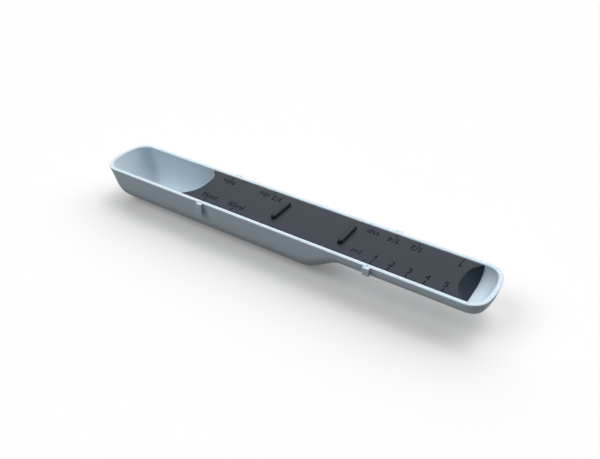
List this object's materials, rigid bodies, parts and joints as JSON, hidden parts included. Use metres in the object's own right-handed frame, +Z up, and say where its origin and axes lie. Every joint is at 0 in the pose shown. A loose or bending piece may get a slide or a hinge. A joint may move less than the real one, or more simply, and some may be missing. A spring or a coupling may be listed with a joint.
{
  "type": "adjustable measuring spoon",
  "caption": "Long open-topped measuring spoon, deep at one end and shallow at the other, with a sliding plate that sets how much both end pockets hold.",
  "frame": {"origin": "on the table, under the middle of the spoon's length and width", "axes": "+X along the spoon towards its teaspoon end, +Y across it, +Z up through the open tops of the pockets"},
  "size_m": [0.18, 0.0286, 0.0188],
  "materials": {
    "spoon_plastic": "pale blue-grey moulded plastic, satin",
    "slider_plastic": "dark blue-grey moulded plastic, fine matt texture",
    "seal_rubber": "near-black soft elastomer, matt"
  },
  "bodies": {
    "spoon": {"spoon_body": "spoon_plastic"},
    "slider": {"measuring_slider": "slider_plastic", "tablespoon_seal": "seal_rubber", "teaspoon_seal": "seal_rubber"}
  },
  "joints": [
    {"name": "measure_slide", "type": "slide", "parent": "spoon", "child": "slider", "axis": [1, 0, 0], "range_m": [-0.0294, 0.001]}
  ]
}
